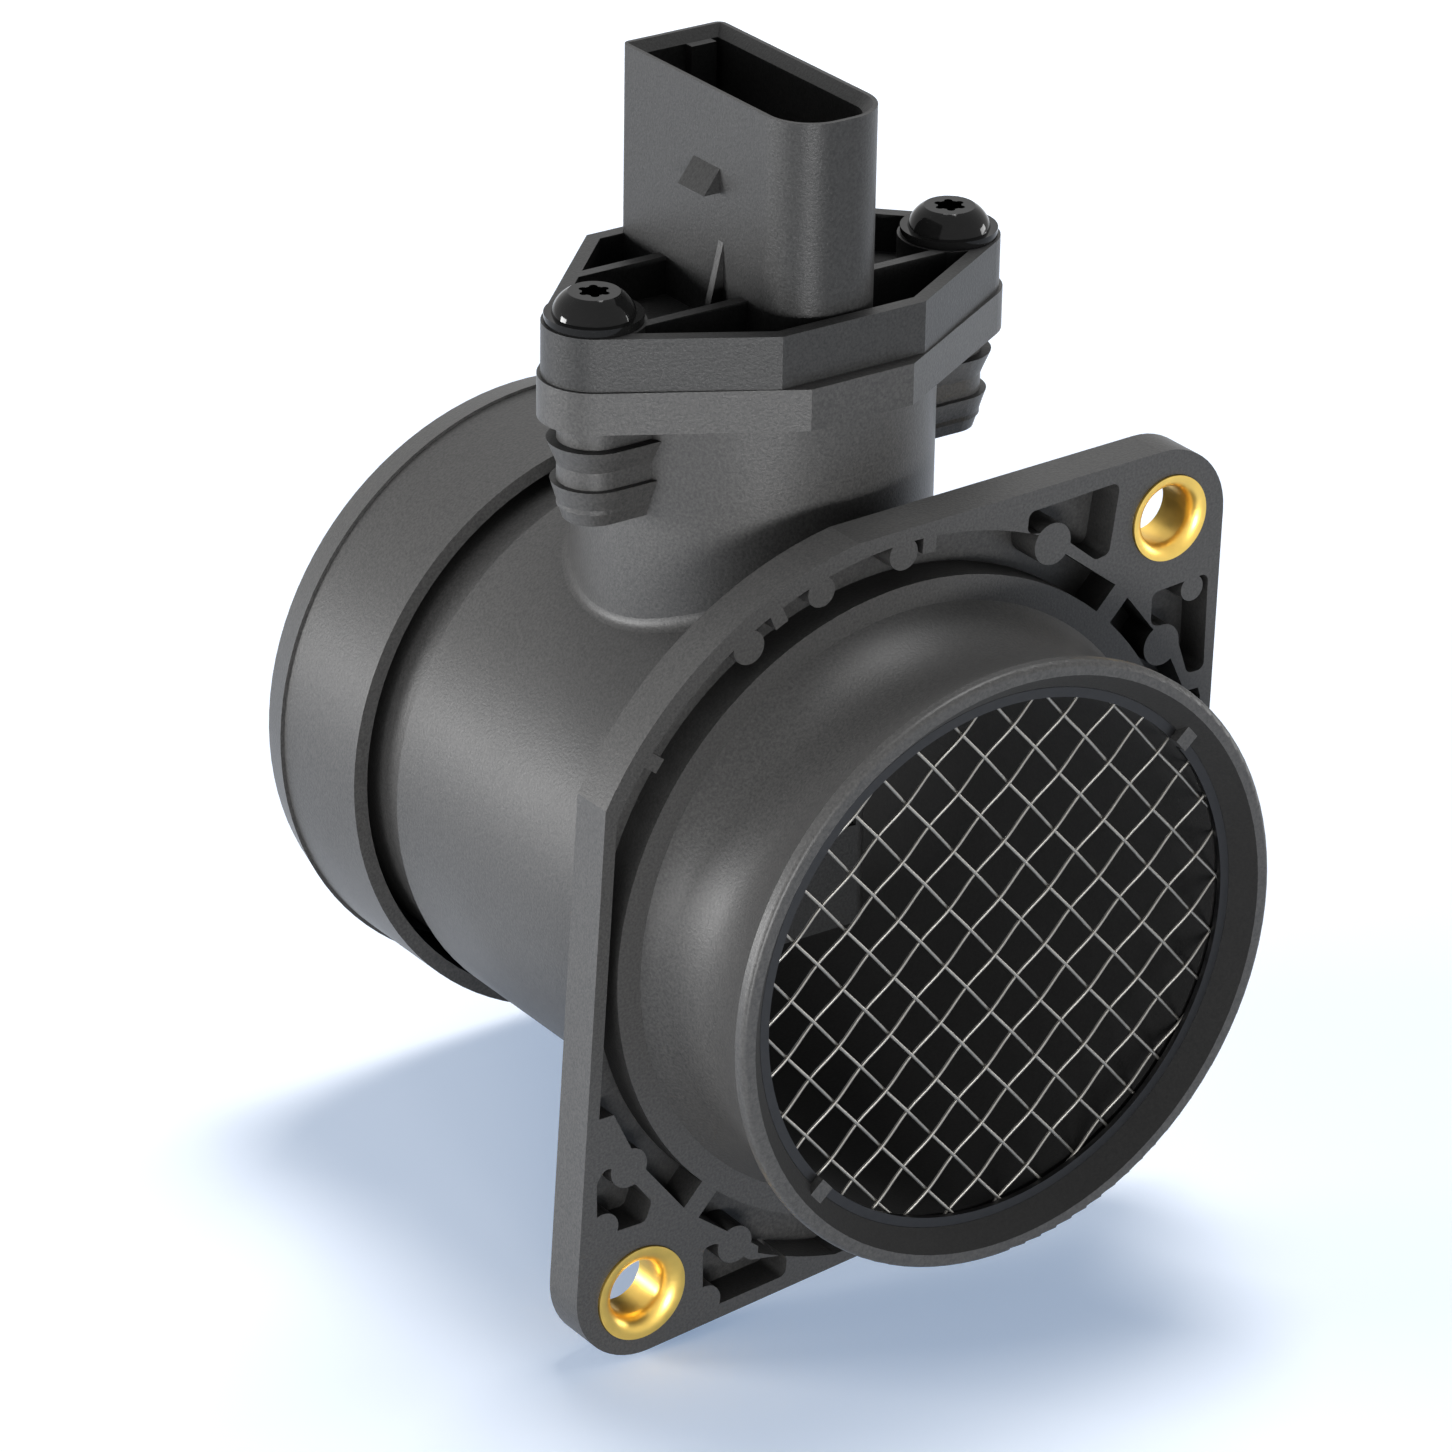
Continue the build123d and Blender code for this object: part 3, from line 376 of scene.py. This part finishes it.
def moulded_plastic(name, dark, light, roughness_range, specular, duct=False):
    """Grained plastic: fine noise for bump and mottled grey, wide noise on the roughness.

    With a duct, the faces inside it get painted shade and are rougher.
    """
    material, nodes, links, output = new_material(name)
    surface = nodes.new("ShaderNodeBsdfPrincipled")
    surface.inputs["Specular IOR Level"].default_value = specular
    links.new(surface.outputs[0], output.inputs["Surface"])
    place = nodes.new("ShaderNodeTexCoord")
    speckle = add_node(nodes, "ShaderNodeTexNoise", Scale=speckle_scale, Detail=2.0, Roughness=0.6)
    mottle = add_node(nodes, "ShaderNodeTexNoise", Scale=mottle_scale, Detail=2.0, Roughness=0.5)
    for noise in (speckle, mottle):
        links.new(place.outputs["Object"], noise.inputs["Vector"])
    tint = nodes.new("ShaderNodeValToRGB")
    tint.color_ramp.elements[0].position = 0.3
    tint.color_ramp.elements[0].color = (*dark, 1)
    tint.color_ramp.elements[1].position = 0.7
    tint.color_ramp.elements[1].color = (*light, 1)
    links.new(speckle.outputs["Fac"], tint.inputs[0])
    gloss = nodes.new("ShaderNodeMapRange")
    gloss.inputs["To Min"].default_value = roughness_range[0]
    gloss.inputs["To Max"].default_value = roughness_range[1]
    links.new(mottle.outputs["Fac"], gloss.inputs["Value"])
    # painted shade: the share takes the colour down in narrow pockets, and inside the duct too
    roughness, share = gloss.outputs["Result"], open_share(nodes, links)
    if duct:
        roughness, share = duct_shade_and_roughness(nodes, links, place, roughness, share)
    links.new(roughness, surface.inputs["Roughness"])
    dimmed = add_node(nodes, "ShaderNodeVectorMath", operation="SCALE")
    links.new(tint.outputs[0], dimmed.inputs[0])
    links.new(share, dimmed.inputs["Scale"])
    links.new(dimmed.outputs[0], surface.inputs["Base Color"])
    relief = add_node(nodes, "ShaderNodeBump", Strength=grain_strength, Distance=grain_depth)
    links.new(speckle.outputs["Fac"], relief.inputs["Height"])
    links.new(relief.outputs[0], surface.inputs["Normal"])
    return material


housing_plastic = moulded_plastic(
    "housing_plastic", dark=(0.023, 0.023, 0.023), light=(0.046, 0.045, 0.044),
    roughness_range=(0.40, 0.50), specular=0.32, duct=True)
head_plastic = moulded_plastic(
    "head_plastic", dark=(0.012, 0.012, 0.012), light=(0.026, 0.026, 0.026),
    roughness_range=(0.38, 0.48), specular=0.24)
print("plastics:", housing_plastic.name, "and", head_plastic.name)

# %% [markdown]
# ## Metals, coats and small finishes
# The bushes are brass, the screws have a glossy black coat, the screen is steel wire, and the
# blades, the plate and the packages inside the head have finishes of their own. No such
# surface is quite even, and one flat colour would look like paint. So each has one noise that
# darkens its colour a little, varies its roughness and raises a very shallow bump. On metal
# the noise can be stretched along the direction of drawing or rolling.

# %% Uneven surfaces
# noise detail, shares by which it darkens the colour and shifts the roughness, and its bump
fine_marks = {"detail": 3.0, "darken": 0.18, "shift": 0.20, "bump": 0.4, "depth": 0.01 * mm}
orange_peel = {"detail": 2.0, "darken": 0.15, "shift": 0.15, "bump": 0.3, "depth": 0.02 * mm}


def uneven_surface(name, colour, roughness, marks, scale, stretch=(1, 1, 1)):
    """A surface whose colour, roughness and bump follow one noise.

    Returns the material and its shader, so that constants can be set on the shader.
    """
    material, nodes, links, output = new_material(name)
    surface = nodes.new("ShaderNodeBsdfPrincipled")
    links.new(surface.outputs[0], output.inputs["Surface"])
    place = nodes.new("ShaderNodeTexCoord")
    squeeze = add_node(nodes, "ShaderNodeMapping", Scale=stretch)
    links.new(place.outputs["Object"], squeeze.inputs["Vector"])
    noise = add_node(nodes, "ShaderNodeTexNoise", Scale=scale, Detail=marks["detail"])
    links.new(squeeze.outputs[0], noise.inputs["Vector"])
    tint = nodes.new("ShaderNodeValToRGB")
    tint.color_ramp.elements[0].color = (*((1 - marks["darken"]) * c for c in colour), 1)
    tint.color_ramp.elements[1].color = (*colour, 1)
    links.new(noise.outputs["Fac"], tint.inputs[0])
    links.new(tint.outputs[0], surface.inputs["Base Color"])
    gloss = nodes.new("ShaderNodeMapRange")
    gloss.inputs["To Min"].default_value = roughness * (1 - marks["shift"])
    gloss.inputs["To Max"].default_value = roughness * (1 + marks["shift"])
    links.new(noise.outputs["Fac"], gloss.inputs["Value"])
    links.new(gloss.outputs["Result"], surface.inputs["Roughness"])
    relief = add_node(nodes, "ShaderNodeBump", Strength=marks["bump"], Distance=marks["depth"])
    links.new(noise.outputs["Fac"], relief.inputs["Height"])
    links.new(relief.outputs[0], surface.inputs["Normal"])
    return material, surface


def metal(name, colour, roughness, scale, stretch=(1, 1, 1)):
    """Bare metal with fine marks."""
    material, surface = uneven_surface(name, colour, roughness, fine_marks, scale, stretch)
    surface.inputs["Metallic"].default_value = 1.0
    return material


def coated(name, colour, roughness, coat=0.0, specular=0.5):
    """A smooth package, glass or coloured coat, uneven like orange peel.

    The coat is the weight of a clear layer on top.
    """
    material, surface = uneven_surface(name, colour, roughness, orange_peel, scale=900.0)
    surface.inputs["Specular IOR Level"].default_value = specular
    surface.inputs["Coat Weight"].default_value = coat
    surface.inputs["Coat Roughness"].default_value = 0.06
    return material


print("helpers:", metal.__name__, "and", coated.__name__)

# %% Metals and coats
brass = metal("turned_brass", (0.80, 0.54, 0.13), 0.38, 700.0)
wire_steel = metal("wire_steel", (0.25, 0.24, 0.22), 0.45, 2500.0)
ring_steel = metal("ring_steel", (0.040, 0.040, 0.041), 0.42, 1500.0)
tin = metal("tin_plate", (0.78, 0.77, 0.74), 0.30, 1200.0, stretch=(1, 1, 0.1))
sheet_aluminium = metal("sheet_aluminium", (0.76, 0.77, 0.78), 0.36, 900.0, stretch=(1, 0.1, 1))
black_coat = coated("black_coat", (0.006, 0.006, 0.006), 0.07, specular=0.14)
chip_package = coated("chip_package", (0.020, 0.020, 0.022), 0.55)
board_coat = coated("board_coat", (0.05, 0.16, 0.09), 0.40, coat=0.3)
ivory_plastic = coated("ivory_plastic", (0.72, 0.69, 0.60), 0.35)
chip_face = coated("chip_face", (0.10, 0.12, 0.20), 0.15, coat=0.8)
bead_glass = coated("bead_glass", (0.03, 0.05, 0.09), 0.20, coat=0.8)
soft_seal = coated("soft_seal", (0.02, 0.02, 0.02), 0.70)
print("materials so far:", len(bpy.data.materials))

# %% [markdown]
# ## A finish for every CAD piece
# Each solid of the CAD model is one moulding, turning, stamping or package, so one finish
# suits it all over. The finishes could be picked by hand in the material panel. A dictionary
# from the solid's name to its finish does the same, and shows at a glance what is made of
# what. The solids' shapes are right as they are, so only their material is changed.

# %% Finish every CAD piece
finishes = {
    "housing": housing_plastic, "sensor_body": head_plastic,
    "circuit_cover": head_plastic, "passage_cover": head_plastic,
    "bush_upper_right": brass, "bush_lower_left": brass,
    "screw_left": black_coat, "screw_right": black_coat,
    "screen_mesh": wire_steel, "screen_ring_upper": ring_steel, "screen_ring_lower": ring_steel,
    "seal_ring": soft_seal, "base_plate": sheet_aluminium, "circuit_board": board_coat,
    "signal_chip": chip_package, "power_chip": chip_package, "sensor_carrier": ivory_plastic,
    "sensor_chip": chip_face, "temperature_sensor": bead_glass,
}
for number in range(1, 6):
    finishes[f"contact_{number}"] = tin
for label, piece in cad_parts.items():
    piece.data.materials.clear()
    piece.data.materials.append(finishes[label])
print("finished", len(finishes), "CAD pieces")

# %% [markdown]
# ## Woven screen
# The inlet screen is woven from round steel wire in two crossing sets. Straight bars would do
# from afar, but close up the eye looks for the waves where wires pass over and under. They
# could be drawn as curves with a round section. Here they are worked out as whole arrays,
# because the weave is a formula: the middle line of a wire swings forward at one crossing and
# back at the next, as a cosine does with half a period per crossing, and the crossing set
# swings the other way.

# %% Measures of the weave
screen_low, screen_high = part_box("screen_mesh")
screen_y = (screen_low.y + screen_high.y) / 2
wire_radius = 0.18 * mm
wire_swing = 0.18 * mm
wire_end = 30.4 * mm        # from the duct axis, where the ring holds the wires
wires_each_side = 6
wire_step = 0.6 * mm        # longest piece of a wire's tube
# direction, offset from the duct axis and spacing of each set
first_set = (radians(41.2), 0.15 * mm, 4.76 * mm)
second_set = (radians(-48.8), 0.25 * mm, 4.61 * mm)
print("screen at y =", round(screen_y / mm, 2), "mm")


# %% Wires
def tube_along(middle_line, side, radius, sides=8):
    """Tube of round section on a line that runs nearly straight, with flat closed ends.

    At each point of the line stands a circle spanned by the side direction and +Y:
    point + radius * (cos(turn) * side + sin(turn) * Y), with the turn in equal steps.
    """
    turns = np.arange(sides) * 2 * pi / sides
    ring = radius * (np.cos(turns)[:, None] * side + np.sin(turns)[:, None] * np.array([0, 1.0, 0]))
    points = (middle_line[:, None, :] + ring[None, :, :]).reshape(-1, 3)
    start = np.arange(len(middle_line) - 1)[:, None] * sides
    near = start + np.arange(sides)
    next_one = start + (np.arange(sides) + 1) % sides
    walls = np.stack([near, near + sides, next_one + sides, next_one], axis=-1).reshape(-1, 4)
    last = (len(middle_line) - 1) * sides
    caps = np.stack([np.arange(sides), last + np.arange(sides)[::-1]])
    return points, walls, caps


def wire_set(own, other, sense, count=0):
    """Points and faces of one set of wires over the round opening, numbered from the count.

    A wire runs straight in its own direction. Along Y its middle line is at the screen's
    place plus swing * cos(pi * phase), where the phase grows by 1 from one crossing wire to
    the next. The sign changes from wire to wire, and the sense changes it for the other set.
    """
    angle, shift, pitch = own
    cross_shift, cross_pitch = other[1:]
    along = np.array([cos(angle), 0, sin(angle)])
    side = np.array([-sin(angle), 0, cos(angle)])
    points, faces = [], []
    for number in range(-wires_each_side, wires_each_side + 1):
        place = shift + number * pitch
        half = (wire_end ** 2 - place ** 2) ** 0.5
        steps = np.linspace(-half, half, int(2 * half / wire_step) + 2)
        phase = (steps - sense * cross_shift) / cross_pitch
        swing = -sense * (-1) ** number * wire_swing * np.cos(pi * phase)
        line = steps[:, None] * along + place * side + np.outer(screen_y + swing, [0, 1.0, 0])
        tube, walls, caps = tube_along(line, side, wire_radius)
        points.append(tube)
        faces += (walls + count).tolist() + (caps + count).tolist()
        count += len(tube)
    return np.vstack(points), faces


print("wires in a set:", 2 * wires_each_side + 1)

# %% Woven screen
first_points, first_faces = wire_set(first_set, second_set, 1)
second_points, second_faces = wire_set(second_set, first_set, -1, count=len(first_points))
weave_faces = first_faces + second_faces
weave_mesh = bpy.data.meshes.new("woven_screen")
weave_mesh.from_pydata(np.vstack([first_points, second_points]).tolist(), [], weave_faces)
weave_mesh.polygons.foreach_set("use_smooth", [len(face) == 4 for face in weave_faces])
weave_mesh.update()
weave_mesh.materials.append(wire_steel)
weave = bpy.data.objects.new("woven_screen", weave_mesh)
bpy.context.scene.collection.objects.link(weave)
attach(weave, "root")
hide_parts("screen_mesh")
print("woven screen:", len(weave_mesh.polygons), "faces")
